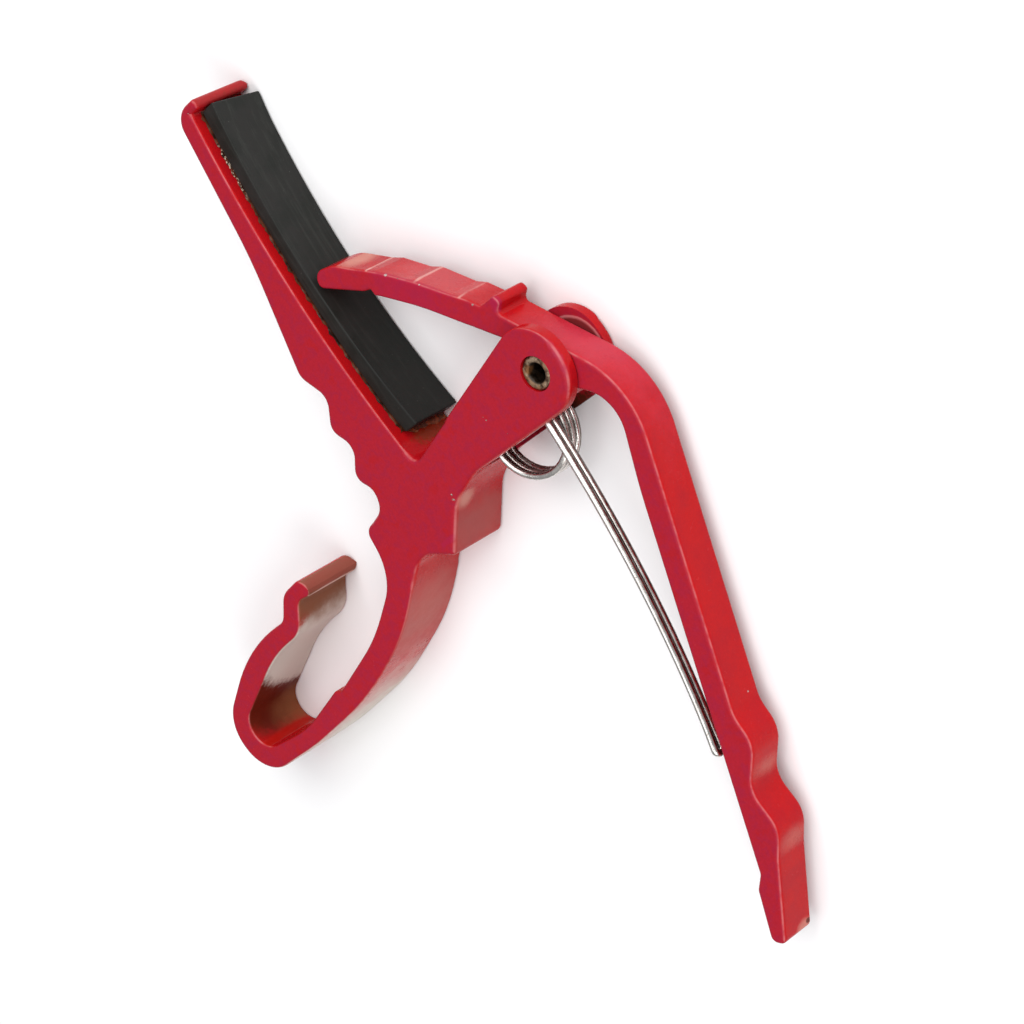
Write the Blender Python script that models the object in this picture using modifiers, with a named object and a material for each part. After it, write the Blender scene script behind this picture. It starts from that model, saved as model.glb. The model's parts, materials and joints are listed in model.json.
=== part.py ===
"""Guitar capo: a quick-change clamp that lies on its side, with its profile in the XY plane.

A cast body carries the string pad, two clevis ears and a hook for pulling bridge pins.
A cast lever turns on a hollow pin between the ears: its jaw closes on the pad, and its handle
is pushed away from the body by the hairpin leg of a two-strand torsion spring.

Profile dimensions are in millimetres from the pivot axis, X along the pad and Y from the pad
towards the lever. Heights are millimetres above the side that the capo lies on.
"""

import math

import bmesh
import bpy
from mathutils import Matrix, Vector

MM = 0.001
WELD = 0.00001
SAGITTA = 0.012  # how far a facet may cut inside its arc

# Widths, across the extruded profile
THICKNESS = 12.5
EAR = 2.2
SIDE_GAP = 0.3
LEVER_WIDTH = THICKNESS - 2 * (EAR + SIDE_GAP)
MIDDLE = THICKNESS / 2

# Pivot
HOLE_RADIUS = 2.9
PIN_RADIUS = 2.75
PIN_BORE = 1.45
PIN_CHAMFER = 0.5
PIN_RECESS = 0.2
HUB_RADIUS = 5.7
SLOT_FLOOR = -22.5

# Tray, pad and glue
TRAY_LOW = -36.2
TRAY_MIDDLE = -34.5
TRAY_RADIUS = 230.0
GLUE_GAP = 0.1
GLUE_THICKNESS = 0.35
GLUE_ENDS = (-66.2, -3.2)
GLUE_HEIGHTS = (0.4, 11.0)
PAD_ENDS = (-66.0, -5.0)
PAD_HEIGHTS = (0.2, 10.5)
PAD_THICKNESS = 2.45
PAD_FACE_RADIUS = 160.0
PAD_FACETS = 31

# Spring
WIRE_RADIUS = 0.6
STRAND_PITCH = 1.3
COIL_CENTRE = (6.4, -13.3)
COIL_RADIUS = 7.15
FRONT_STRAND = THICKNESS - EAR - 0.7
CROSSING_TURN = 280.0  # degrees in which the first turn clears the leg
COIL_STEP = 18.0
COIL_START_GAP = 8.0
FRONT_COIL_DEGREES = 830.0
REAR_COIL_DEGREES = 470.0
TAIL_LENGTH = 11.0
TAIL_HOLE_RADIUS = 1.8
LEG_LENGTH = 57.0
LEG_SAG = 7.6
LEG_SAG_POWER = 2.1
LEG_POINTS = 16
EYE_RADIUS = 0.85
EYE_TAPER = 6.0

# Outlines as corners: x, y and the radius that rounds the corner
LIP_AND_ARM = [
    (-66.3, -31.7, 0.75), (-68.25, -31.7, 1.1), (-68.2, -37.6, 3.6), (-42.4, -40.8, 80),
]
SCALLOPS = [
    (-22.2, -46.0, 3.2), (-17.0, -43.1, 2.6), (-12.3, -46.7, 2.6), (-8.0, -44.0, 2.6),
    (-3.7, -48.0, 2.4), (-0.4, -45.5, 2.6), (2.8, -46.6, 3.0), (4.3, -52.2, 1.9),
]
HOOK_INSIDE = [
    (12.6, -52.9, 10), (19.6, -65.0, 40), (23.7, -79.4, 0.8), (23.1, -80.8, 0.8),
    (25.9, -92.5, 26), (25.0, -105.0, 3.8), (18.9, -105.2, 3.8), (12.3, -89.0, 28),
    (11.8, -80.2, 6.0), (7.1, -76.0, 2.2), (7.6, -72.3, 1.3),
]
HOOK_OUTSIDE = [
    (3.9, -72.0, 2.2), (4.6, -78.6, 4.0), (8.4, -82.4, 3.0), (8.5, -94.0, 34),
    (17.3, -109.9, 7.5), (29.1, -108.7, 7), (29.0, -92.0, 60),
    (27.4, -75.5, 60), (22.0, -58.5, 45), (12.4, -44.4, 5.5), (15.9, -37.4, 1.1),
]
SCOOP_AND_EAR = [
    (8.8, -30.0, 9), (6.9, -23.5, 12), (7.1, 6.3, 7.0), (-9.7, 6.3, 7.0), (0.1, -33.4, 1.4),
]
JAW_UNDERSIDE = [
    (-34.6, -32.85, 1.8), (-31.7, -32.85, 1.2), (-27.0, -25.0, 0.3), (-26.5, -23.4, 0.25),
    (-25.3, -23.1, 0.3), (-19.3, -15.9, 60),
]
HUB_ARC = (203, 388)
HANDLE_INSIDE = [
    (9.8, 8.95, 7.0), (23.5, 2.75, 80), (83.7, -20.1, 1.6), (85.7, -22.4, 1.8),
    (94.0, -26.0, 1.3), (95.5, -23.8, 1.1),
]
HANDLE_WAVES = [
    (83.0, -14.75, 2.5), (78.9, -11.1, 5.0), (71.6, -11.9, 5.0), (65.7, -5.9, 5.5),
    (60.4, -6.2, 6.0),
]
LEVER_BACK = [(9.35, 13.2, 16)]
STOP_FIN = [(-11.2, -2.5, 0.8), (-12.3, -0.75, 0.75), (-13.8, -1.2, 0.75), (-13.7, -4.7, 0.7)]
JAW_RIDGES = [
    (-17.0, -7.5, 0.6), (-18.1, -9.3, 1.2), (-23.3, -14.0, 0.6), (-24.4, -16.0, 1.2),
    (-28.3, -20.2, 0.6), (-29.4, -22.2, 1.2), (-33.4, -27.8, 7),
]


def arc(centre, radius, start, end):
    """Corners without rounding along an arc, given in degrees."""
    step = math.degrees(2 * math.acos(1 - SAGITTA / radius))
    count = max(2, math.ceil(abs(end - start) / step))
    angles = (math.radians(start + (end - start) * i / count) for i in range(count + 1))
    return [(centre[0] + radius * math.cos(a), centre[1] + radius * math.sin(a), 0) for a in angles]


def rounded(corners):
    """The points of a closed outline whose corners are replaced by tangent arcs."""
    points = []
    for i, (x, y, radius) in enumerate(corners):
        corner = Vector((x, y))
        if not radius:
            points.append(corner)
            continue
        before = (Vector(corners[i - 1][:2]) - corner).normalized()
        after = (Vector(corners[(i + 1) % len(corners)][:2]) - corner).normalized()
        half = before.angle(after) / 2
        centre = corner + (before + after).normalized() * radius / math.sin(half)
        first = corner + before * radius / math.tan(half) - centre
        turn = math.copysign(math.pi - 2 * half, first.y * before.x - first.x * before.y)
        step = 2 * math.acos(1 - min(SAGITTA / radius, 0.1))
        count = max(1, math.ceil(abs(turn) / step))
        for k in range(count + 1):
            points.append(centre + Matrix.Rotation(turn * k / count, 2) @ first)
    return points


def tray_y(x):
    return TRAY_LOW + (x - TRAY_MIDDLE) ** 2 / (2 * TRAY_RADIUS)


def pad_face_y(x):
    low = TRAY_LOW + 2 * GLUE_GAP + GLUE_THICKNESS + PAD_THICKNESS
    return low + (x - sum(PAD_ENDS) / 2) ** 2 / (2 * PAD_FACE_RADIUS)


def stations(ends, count):
    return [ends[0] + (ends[1] - ends[0]) * i / count for i in range(count + 1)]


def body_corners():
    tray_ends = (-66.3, -2.0)
    tray = [(x, tray_y(x), 0) for x in reversed(stations(tray_ends, PAD_FACETS))]
    outside = LIP_AND_ARM + SCALLOPS + HOOK_INSIDE + HOOK_OUTSIDE
    return outside + SCOOP_AND_EAR + tray


def lever_corners():
    hub = arc((0, 0), HUB_RADIUS, *HUB_ARC)
    handle = HANDLE_INSIDE + HANDLE_WAVES + LEVER_BACK
    return JAW_UNDERSIDE + hub + handle + STOP_FIN + JAW_RIDGES


def pivot_place():
    """Where the pivot lies, so that the capo's plan is centred on the origin."""
    points = rounded(body_corners()) + rounded(lever_corners())
    centre = [(min(p[k] for p in points) + max(p[k] for p in points)) / 2 for k in (0, 1)]
    return Vector((-centre[0], -centre[1], 0)) * MM


def make_material(name, colour, roughness, metallic):
    material = bpy.data.materials.new(name)
    material.use_nodes = True
    shader = material.node_tree.nodes["Principled BSDF"]
    shader.inputs["Base Color"].default_value = (*colour, 1)
    shader.inputs["Roughness"].default_value = roughness
    shader.inputs["Metallic"].default_value = metallic
    return material


def finish_piece(piece, frame, origin, material):
    """Puts a piece whose data is in profile millimetres at its origin under the frame."""
    piece.data.transform(Matrix.Scale(MM, 4) @ Matrix.Translation(-Vector(origin)))
    piece.location = Vector(origin) * MM
    piece.parent = frame
    piece.data.materials.clear()
    piece.data.materials.append(material)
    return piece


def link(collection, name, data):
    piece = bpy.data.objects.new(name, data)
    collection.objects.link(piece)
    return piece


def mesh_of(curve_object):
    """Replaces a curve object by a welded mesh object of the same name."""
    name, collection = curve_object.name, curve_object.users_collection[0]
    curve_object.name = name + "_curve"
    evaluated = curve_object.evaluated_get(bpy.context.evaluated_depsgraph_get())
    mesh = bpy.data.meshes.new_from_object(evaluated)
    welded = bmesh.new()
    welded.from_mesh(mesh)
    bmesh.ops.remove_doubles(welded, verts=welded.verts, dist=WELD)
    bmesh.ops.recalc_face_normals(welded, faces=welded.faces)
    welded.to_mesh(mesh)
    welded.free()
    piece = link(collection, name, mesh)
    piece.matrix_world = curve_object.matrix_world
    bpy.data.objects.remove(curve_object)
    return piece


def extruded(collection, name, points, low, high):
    """A flat outline extruded between two heights, as a mesh."""
    curve = bpy.data.curves.new(name, "CURVE")
    curve.dimensions = "2D"
    curve.fill_mode = "BOTH"
    curve.extrude = (high - low) / 2
    spline = curve.splines.new("POLY")
    spline.points.add(len(points) - 1)
    for target, point in zip(spline.points, points):
        target.co = (point[0], point[1], 0, 1)
    spline.use_cyclic_u = True
    piece = mesh_of(link(collection, name, curve))
    piece.data.transform(Matrix.Translation((0, 0, (low + high) / 2)))
    return piece


def cylinder(collection, name, radius, length, matrix, sides=40):
    mesh = bpy.data.meshes.new(name)
    shape = bmesh.new()
    bmesh.ops.create_cone(
        shape, cap_ends=True, segments=sides, radius1=radius, radius2=radius,
        depth=length, matrix=matrix,
    )
    shape.to_mesh(mesh)
    shape.free()
    return link(collection, name, mesh)


def block(collection, name, low, high):
    mesh = bpy.data.meshes.new(name)
    shape = bmesh.new()
    size = Vector(high) - Vector(low)
    middle = (Vector(high) + Vector(low)) / 2
    matrix = Matrix.Translation(middle) @ Matrix.Diagonal((*size, 1))
    bmesh.ops.create_cube(shape, size=1, matrix=matrix)
    shape.to_mesh(mesh)
    shape.free()
    return link(collection, name, mesh)


def cut(piece, cutter, frame):
    """Takes a cutter, made in profile millimetres, out of a finished piece."""
    cutter.data.transform(Matrix.Scale(MM, 4))
    cutter.parent = frame
    cutter.hide_render = True
    cutter.display_type = "WIRE"
    modifier = piece.modifiers.new(cutter.name, "BOOLEAN")
    modifier.operation = "DIFFERENCE"
    modifier.object = cutter


def shade(piece, degrees=30):
    piece.data.shade_smooth()
    piece.data.set_sharp_from_angle(angle=math.radians(degrees))


def coil_point(degrees, height):
    angle = math.radians(degrees)
    x = COIL_CENTRE[0] + COIL_RADIUS * math.cos(angle)
    y = COIL_CENTRE[1] + COIL_RADIUS * math.sin(angle)
    return Vector((x, y, height))


def coil_height(turned, strand):
    """Height of a strand after it has turned so many degrees from the leg."""
    lead = 2 * STRAND_PITCH
    if turned < CROSSING_TURN:
        drop = lead * turned / CROSSING_TURN
    else:
        drop = lead + lead * (turned - CROSSING_TURN) / 360
    return FRONT_STRAND - strand * STRAND_PITCH - drop


def coil_strand(strand, degrees):
    """Centre line of one strand: its turns, then the straight tail into the body."""
    count = round((degrees - COIL_START_GAP) / COIL_STEP)
    turned = [COIL_START_GAP + (degrees - COIL_START_GAP) * i / count for i in range(count + 1)]
    points = [coil_point(90 + t, coil_height(t, strand)) for t in turned]
    angle = math.radians(90 + degrees)
    tail = Vector((-math.sin(angle), math.cos(angle), 0)) * TAIL_LENGTH
    return points + [points[-1] + tail * part for part in (0.3, 0.65, 1)]


def leg_y(x):
    part = (x - COIL_CENTRE[0]) / LEG_LENGTH
    return COIL_CENTRE[1] + COIL_RADIUS - LEG_SAG * part ** LEG_SAG_POWER


def hairpin():
    """Centre line of the leg: out along the front strand, round the eye and back."""
    middle = FRONT_STRAND - STRAND_PITCH / 2
    front = []
    for i in range(LEG_POINTS + 1):
        run = LEG_LENGTH * i / LEG_POINTS
        x = COIL_CENTRE[0] + run
        spread = max(0, 1 - (LEG_LENGTH - run) / EYE_TAPER)
        half = STRAND_PITCH / 2 + (EYE_RADIUS - STRAND_PITCH / 2) * spread
        front.append(Vector((x, leg_y(x), middle + half)))
    back = [Vector((p.x, p.y, 2 * middle - p.z)) for p in reversed(front)]
    end = COIL_CENTRE[0] + LEG_LENGTH
    along = Vector((1, (leg_y(end) - leg_y(end - 1)), 0)).normalized()
    eye = []
    for degrees in range(60, -61, -30):
        angle = math.radians(degrees)
        out = along * EYE_RADIUS * math.cos(angle)
        rise = Vector((0, 0, EYE_RADIUS * math.sin(angle)))
        eye.append(Vector((end, leg_y(end), middle)) + out + rise)
    return front + eye + back


def wire(collection, name, points):
    curve = bpy.data.curves.new(name, "CURVE")
    curve.dimensions = "3D"
    curve.bevel_depth = WIRE_RADIUS
    curve.bevel_resolution = 2
    curve.use_fill_caps = True
    spline = curve.splines.new("POLY")
    spline.points.add(len(points) - 1)
    for target, point in zip(spline.points, points):
        target.co = (*point, 1)
    return mesh_of(link(collection, name, curve))


def add_body(parts, cutters, frame, material):
    body = extruded(parts, "capo_body", rounded(body_corners()), 0, THICKNESS)
    finish_piece(body, frame, (0, 0, 0), material)
    reach = 14
    low, high = (-reach, SLOT_FLOOR, EAR), (reach, reach, THICKNESS - EAR)
    cut(body, block(cutters, "ear_slot", low, high), frame)
    upright = Matrix.Translation((0, 0, MIDDLE))
    cut(body, cylinder(cutters, "pivot_bore", HOLE_RADIUS, 2 * THICKNESS, upright), frame)
    cut(body, tail_drill(cutters), frame)
    shade(body)


def tail_drill(cutters):
    """A blind hole in the slot's floor that holds both tails of the spring."""
    tails = [coil_strand(strand, degrees)[-1]
             for strand, degrees in ((0, FRONT_COIL_DEGREES), (1, REAR_COIL_DEGREES))]
    bottom = (tails[0] + tails[1]) / 2
    angle = math.radians(90 + FRONT_COIL_DEGREES)
    along = Vector((-math.sin(angle), math.cos(angle), 0))
    length = 2 * (bottom.y - SLOT_FLOOR) / along.y + 4
    turn = along.to_track_quat("Z", "Y").to_matrix().to_4x4()
    matrix = Matrix.Translation(bottom - along) @ turn
    return cylinder(cutters, "tail_hole", TAIL_HOLE_RADIUS, length, matrix, 24)


def add_lever(parts, cutters, frame, material):
    low = EAR + SIDE_GAP
    lever = extruded(parts, "lever", rounded(lever_corners()), low, low + LEVER_WIDTH)
    finish_piece(lever, frame, (0, 0, MIDDLE), material)
    upright = Matrix.Translation((0, 0, MIDDLE))
    cut(lever, cylinder(cutters, "lever_bore", HOLE_RADIUS, 2 * THICKNESS, upright), frame)
    shade(lever)


def add_pin(parts, frame, material):
    """A hollow pin turned about the pivot axis, with a wide chamfer at both mouths."""
    top, mouth = MIDDLE - PIN_RECESS, PIN_BORE + PIN_CHAMFER
    upper = [(mouth, top), (PIN_RADIUS - 0.2, top), (PIN_RADIUS, top - 0.2)]
    profile = upper + [(r, -z) for r, z in reversed(upper)]
    profile += [(PIN_BORE, PIN_CHAMFER - top), (PIN_BORE, top - PIN_CHAMFER)]
    mesh = bpy.data.meshes.new("pivot_pin")
    edges = [(i, (i + 1) % len(profile)) for i in range(len(profile))]
    mesh.from_pydata([(r, 0, z + MIDDLE) for r, z in profile], edges, [])
    pin = link(parts, "pivot_pin", mesh)
    finish_piece(pin, frame, (0, 0, MIDDLE), material)
    screw = pin.modifiers.new("turned", "SCREW")
    screw.steps = screw.render_steps = 40
    screw.use_merge_vertices = True
    screw.merge_threshold = WELD
    screw.use_smooth_shade = False


def add_pad(parts, frame, rubber, glue):
    floor = GLUE_GAP + GLUE_THICKNESS + GLUE_GAP
    run = stations(PAD_ENDS, PAD_FACETS)
    outline = [(x, tray_y(x) + floor) for x in run] + [(x, pad_face_y(x)) for x in reversed(run)]
    pad = extruded(parts, "string_pad", outline, *PAD_HEIGHTS)
    finish_piece(pad, frame, (sum(PAD_ENDS) / 2, TRAY_LOW, MIDDLE), rubber)
    run = stations(GLUE_ENDS, PAD_FACETS)
    bottom = [(x, tray_y(x) + GLUE_GAP) for x in run]
    outline = bottom + [(x, y + GLUE_THICKNESS) for x, y in reversed(bottom)]
    film = extruded(parts, "pad_adhesive", outline, *GLUE_HEIGHTS)
    finish_piece(film, frame, (sum(GLUE_ENDS) / 2, TRAY_LOW, MIDDLE), glue)


def add_spring(parts, frame, material):
    centre = (*COIL_CENTRE, MIDDLE)
    strands = (("spring_coil_front", 0, FRONT_COIL_DEGREES), ("spring_coil_rear", 1, REAR_COIL_DEGREES))
    for name, strand, degrees in strands:
        coil = wire(parts, name, coil_strand(strand, degrees))
        shade(finish_piece(coil, frame, centre, material), 60)
    leg = wire(parts, "spring_leg", hairpin())
    shade(finish_piece(leg, frame, centre, material), 60)


def main():
    for thing in list(bpy.data.objects):
        bpy.data.objects.remove(thing)
    scene = bpy.context.scene.collection
    parts = bpy.data.collections.new("guitar_capo")
    cutters = bpy.data.collections.new("cutters")
    scene.children.link(parts)
    scene.children.link(cutters)
    frame = link(parts, "pivot_frame", None)
    frame.location = pivot_place()
    red = make_material("red_enamel", (0.45, 0.02, 0.03), 0.35, 0.3)
    add_body(parts, cutters, frame, red)
    add_lever(parts, cutters, frame, red)
    add_pin(parts, frame, make_material("bare_steel", (0.5, 0.46, 0.38), 0.4, 1))
    rubber = make_material("black_rubber", (0.03, 0.03, 0.03), 0.6, 0)
    glue = make_material("amber_glue", (0.35, 0.16, 0.05), 0.4, 0)
    add_pad(parts, frame, rubber, glue)
    add_spring(parts, frame, make_material("bright_nickel", (0.75, 0.73, 0.7), 0.12, 1))
    bpy.context.view_layer.update()


main()
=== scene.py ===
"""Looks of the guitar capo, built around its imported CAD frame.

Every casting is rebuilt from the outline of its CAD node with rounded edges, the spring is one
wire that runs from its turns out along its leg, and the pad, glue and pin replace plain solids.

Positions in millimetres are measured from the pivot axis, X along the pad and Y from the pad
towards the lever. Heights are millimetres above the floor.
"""

import json
import math

import bmesh
import bpy
import numpy as np
from mathutils import Matrix, Vector, noise


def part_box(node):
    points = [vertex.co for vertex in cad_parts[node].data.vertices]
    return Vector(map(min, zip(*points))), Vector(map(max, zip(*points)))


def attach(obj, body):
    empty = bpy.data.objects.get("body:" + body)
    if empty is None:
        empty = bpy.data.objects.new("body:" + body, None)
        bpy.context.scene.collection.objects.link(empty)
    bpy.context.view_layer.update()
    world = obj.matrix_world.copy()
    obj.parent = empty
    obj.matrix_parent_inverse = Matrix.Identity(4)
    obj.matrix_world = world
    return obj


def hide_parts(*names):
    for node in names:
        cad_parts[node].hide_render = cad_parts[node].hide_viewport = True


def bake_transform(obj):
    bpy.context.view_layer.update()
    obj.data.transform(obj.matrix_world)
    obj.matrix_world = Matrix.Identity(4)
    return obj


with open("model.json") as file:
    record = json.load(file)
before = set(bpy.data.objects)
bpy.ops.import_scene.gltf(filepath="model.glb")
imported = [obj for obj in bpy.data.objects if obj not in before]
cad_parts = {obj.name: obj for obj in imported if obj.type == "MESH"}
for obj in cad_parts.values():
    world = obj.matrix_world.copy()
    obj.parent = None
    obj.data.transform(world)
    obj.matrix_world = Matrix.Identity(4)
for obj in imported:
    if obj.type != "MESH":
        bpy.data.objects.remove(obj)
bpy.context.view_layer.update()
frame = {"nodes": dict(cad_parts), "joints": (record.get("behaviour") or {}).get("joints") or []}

MM = 0.001
JOINTS = {joint["name"]: joint for joint in frame["joints"]}
PIVOT = Vector(JOINTS["lever_pivot"]["pos_m"][:2] + [0])
COIL_CENTRE = (Vector(JOINTS["spring_flex"]["pos_m"][:2] + [0]) - PIVOT) / MM

# Castings
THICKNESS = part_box("capo_body")[1].z / MM
EAR_THICKNESS = 2.2
SLOT_FLOOR, SLOT_REACH = -22.5, 14
HOLE_RADIUS = 2.9
TAIL_HOLE_RADIUS, TAIL_HOLE_DEPTH, TAIL_HOLE_BACK = 1.8, 13, 3
CAST_RADIUS = 0.95
TRAY_RADIUS = 0.5
HOOK_RADIUS = 0.6
JAW_RADIUS = 0.55
HANDLE_RADIUS = 0.65
TRAY_SPAN, TRAY_ABOVE = (-66, -2.5), -37
HOOK_BELOW = -50
JAW_BEFORE = -12
SLOT_EDGE, SLOT_EDGE_STEPS, SLOT_EDGE_DEGREES = 0.28, 3, 50
FILLET_RINGS = 5
OUTLINE_STEP = 1.2
RIDGES, RIDGE_EASE = (-31.5, -15.2), 1.5
JAW_BACK_SLOPE, JAW_BACK_RISE = 1.1, 8
FADE_DEPTHS = (2.4, 1.8, 1.3)

# Pad and its glue
TRAY_LOW, TRAY_MIDDLE, TRAY_BEND = -36.2, -34.5, 230.0
PAD_RADIUS, PAD_SMOOTH_DEGREES = 0.3, 50
CORNER_STEPS, CORNER_HALF_DEGREES = 5, 75
PAD_SKEW, PAD_SKEW_FROM, PAD_SKEW_RUN = 1.1, -60.0, 5
PAD_LIFT, PAD_LIFT_FROM, PAD_LIFT_RUN = 0.35, -9.5, 4
PAD_BACK_FROM, PAD_BACK_RUN = -32.5, 1.5
GLUE_STEPS, GLUE_ROWS = 170, 26
GLUE_INSET = 0.05
GLUE_LIFT, GLUE_LEAST, GLUE_LUMPS = 0.1, 0.04, 0.3
GLUE_RIM_SHARE = 0.04
GLUE_END, GLUE_END_RAGS, GLUE_END_SLANT = 0.9, 0.8, 1.3
GLUE_FRONT, GLUE_FRONT_WAVES, GLUE_FRONT_RAGS = 0.55, 0.5, 0.25

# Pin
PIN_RADIUS, PIN_BORE = 2.84, 1.55
PIN_LIP, PIN_LIP_STEPS = 0.55, 8
PIN_SIDES = 64
PIN_KNOCKS, PIN_KNOCKED_WITHIN = 0.1, 2.6

# Spring
WIRE_RADIUS = 0.64
STRAND_PITCH = 1.3
COIL_RADIUS = 7.15
FRONT_STRAND = THICKNESS - EAR_THICKNESS - 0.7
CROSSING_TURN = 280.0
STRAND_TURNS = (830.0, 470.0)
TURN_STEP = 10
TAIL_LENGTH = 10.5
TAIL_SHARES = (0.1, 0.4, 0.7, 1)
LEG_LENGTH, LEG_STEPS = 57.0, 48
LEG_SAG, LEG_SAG_POWER = 7.6, 2.1
EYE_RADIUS, EYE_STEPS, EYE_TAPER = 0.8, 10, 6.0
WIRE_SIDES = 16
REAR_STRAND, REAR_STRAND_FADE = FRONT_STRAND - STRAND_PITCH / 2 - 0.2, 0.3
# Where the painted shade on the leg's rear strand begins and is full
LEG_SHADE_FROM, LEG_SHADE_TO = 14.5, 16.5

# The photograph's view, from the pivot
CAMERA_PLACE = (36.156, 370.628, 388.033)
CAMERA_AHEAD = (-0.038477, -0.720844, -0.692028)
CAMERA_UP = (-0.843007, 0.395257, -0.364844)
CAMERA_LENS = 122.1
CAMERA_NEAREST = 0.01

# Studio: names, places in metres, sizes, powers and colours of the lights
WHITE = (1, 1, 1)
COOL_WHITE = (0.97, 0.98, 1)
LIGHTS = (
    ("key", (-0.54, 0.817, 0.69), 1.3, 16.0, WHITE),
    ("fill", (0.85, 0.2, 0.7), 0.8, 5.0, WHITE),
    ("top", (0.0, 0.0, 1.25), 1.0, 5.0, COOL_WHITE),
)
WORLD_STRENGTH = 0.3
FLOOR_SIZE = 4
FLOOR_GREYS = ((0.93, 0.93, 0.93), (0.95, 0.95, 0.95))

# Colours of the coating, and the side that its veiled walls face: there the veils carry wear and
# painted reflection of the floor
# Painted light: the walls are painted a brighter, purer red than the crimson flat sides
WALL_REDS = ((0.47, 0.0055, 0.0075), (0.42, 0.006, 0.011))
FLAT_REDS = ((0.385, 0.0135, 0.0275), (0.345, 0.014, 0.037), (0.40, 0.0115, 0.018))
GRAIN_RED = (0.2, 0.004, 0.01)
ALLOYS = ((0.5, 0.4, 0.38), (0.2, 0.09, 0.08))
CHALK_AND_SHEEN = (0.64, 0.62, 0.55)
ROSE = (0.80, 0.34, 0.33)
PINK = (0.62, 0.09, 0.16)
PINK_CHALK_AND_SHEEN = (0.40, 0.14, 0.12)
DUSTY_PINK_AND_SHEEN = (0.62, 0.24, 0.26)
DUSTY_RED = (0.30, 0.10, 0.09)
DULL_RED = (0.22, 0.03, 0.03)
BROWN = (0.14, 0.035, 0.018)
# Painted shadow under the front ear
SHADOW_BROWN = (0.07, 0.016, 0.007)
RED_BROWN = (0.10, 0.012, 0.004)
AMBER_BROWN = (0.22, 0.035, 0.008)
ORANGE_BROWN = (0.24, 0.09, 0.035)
HOOK_BROWN = (0.22, 0.095, 0.05)
LIP_RED = (0.30, 0.06, 0.05)
DEEP_RED = (0.42, 0.006, 0.003)
SHADE_RED = (0.15, 0.004, 0.006)
TAN = (0.62, 0.33, 0.26)
PALE = (0.80, 0.55, 0.48)
# Painted shade on rounded rims
RIM_SHADE_LILAC = (0.34, 0.012, 0.05)
RIM_SHADE_PLUM = (0.34, 0.03, 0.07)
VEILED_SIDE = (0.5, 1.0, 0.0)

# Colours of the other materials, each pair mixed by a cloudy noise
RUBBERS = ((0.0115, 0.0125, 0.0105), (0.0185, 0.018, 0.0165))
DRAWN_GREY = (0.029, 0.030, 0.0265)
# Painted shade towards the pad's near end
NEAR_END_SHADE = (0.007, 0.008, 0.0065)
FRINGE_TAN = (0.20, 0.10, 0.05)
DUST = (0.12, 0.12, 0.11)
GLUES = ((0.018, 0.008, 0.005), (0.11, 0.028, 0.009))
AMBERS = ((0.34, 0.07, 0.014), (0.13, 0.035, 0.01))
CRUMBS = (0.6, 0.48, 0.36)
STEELS = ((0.09, 0.045, 0.025), (0.38, 0.27, 0.18))
RUST = (0.17, 0.07, 0.02)
# Painted shade in the pin's bore
BORE_SHADE = (0.012, 0.007, 0.004)
RESIDUE = (0.20, 0.08, 0.025)
NICKELS = ((0.82, 0.79, 0.75), (0.58, 0.51, 0.45))
# Painted shade on the spring wire's underside and on the leg
UNDERSIDE_SHADE_BROWN = (0.075, 0.045, 0.035)
LEG_SHADE_BROWN = (0.09, 0.05, 0.04)
SPOT_BROWN = (0.2, 0.15, 0.12)


def place(x, y, height=0.0):
    """A point of the profile in the frame, in metres."""
    return PIVOT + Vector((x, y, height)) * MM


def tray_y(x):
    """Y of the tray's hollow floor along the pad."""
    return TRAY_LOW + (x - TRAY_MIDDLE) ** 2 / (2 * TRAY_BEND)


def ramp(value, start, run):
    """0 up to start and 1 from a run past it. The run may be negative."""
    return min(max((value - start) / run, 0), 1)


# ---------------------------------------------------------------- meshes


def show(name, shape):
    """A new object with a shape's mesh."""
    mesh = bpy.data.meshes.new(name)
    shape.to_mesh(mesh)
    shape.free()
    piece = bpy.data.objects.new(name, mesh)
    bpy.context.scene.collection.objects.link(piece)
    return piece


def show_closed(name, shape):
    """A new object with a closed shape's mesh, its faces turned outwards."""
    bmesh.ops.recalc_face_normals(shape, faces=shape.faces)
    return show(name, shape)


def border(node):
    """The outer edge of a node's lowest flat side: points in order, in profile millimetres."""
    shape = bmesh.new()
    shape.from_mesh(frame["nodes"][node].data)
    bmesh.ops.remove_doubles(shape, verts=shape.verts, dist=1e-6)
    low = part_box(node)[0].z
    links = {}
    for edge in shape.edges:
        on_side = all(abs(v.co.z - low) < 1e-6 for v in edge.verts)
        flat = sum(abs(f.normal.z) > 0.9 for f in edge.link_faces)
        if on_side and flat == 1:
            a, b = (v.index for v in edge.verts)
            links.setdefault(a, []).append(b)
            links.setdefault(b, []).append(a)
    shape.verts.ensure_lookup_table()
    loops = []
    while links:
        start = next(iter(links))
        loop, here = [start], start
        while True:
            ahead = [v for v in links.get(here, []) if v not in loop[-2:] and v in links]
            links.pop(here)
            ahead = [v for v in ahead if v in links or v == start]
            if not ahead or ahead[0] == start:
                break
            here = ahead[0]
            loop.append(here)
        loops.append([(shape.verts[v].co - PIVOT) / MM for v in loop])
    shape.free()
    widest = max(loops, key=lambda points: max(p.x for p in points) - min(p.x for p in points))
    points = np.array([(p.x, p.y) for p in widest])
    return points if signed_area(points) > 0 else points[::-1]


def signed_area(points):
    after = np.roll(points, -1, 0)
    return (points[:, 0] * after[:, 1] - points[:, 1] * after[:, 0]).sum() / 2


def divided(points, step):
    """The same closed outline with its long edges divided."""
    out = []
    for here, after in zip(points, np.roll(points, -1, 0)):
        count = max(1, math.ceil(np.linalg.norm(after - here) / step))
        out += [here + (after - here) * i / count for i in range(count)]
    return np.array(out)


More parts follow.
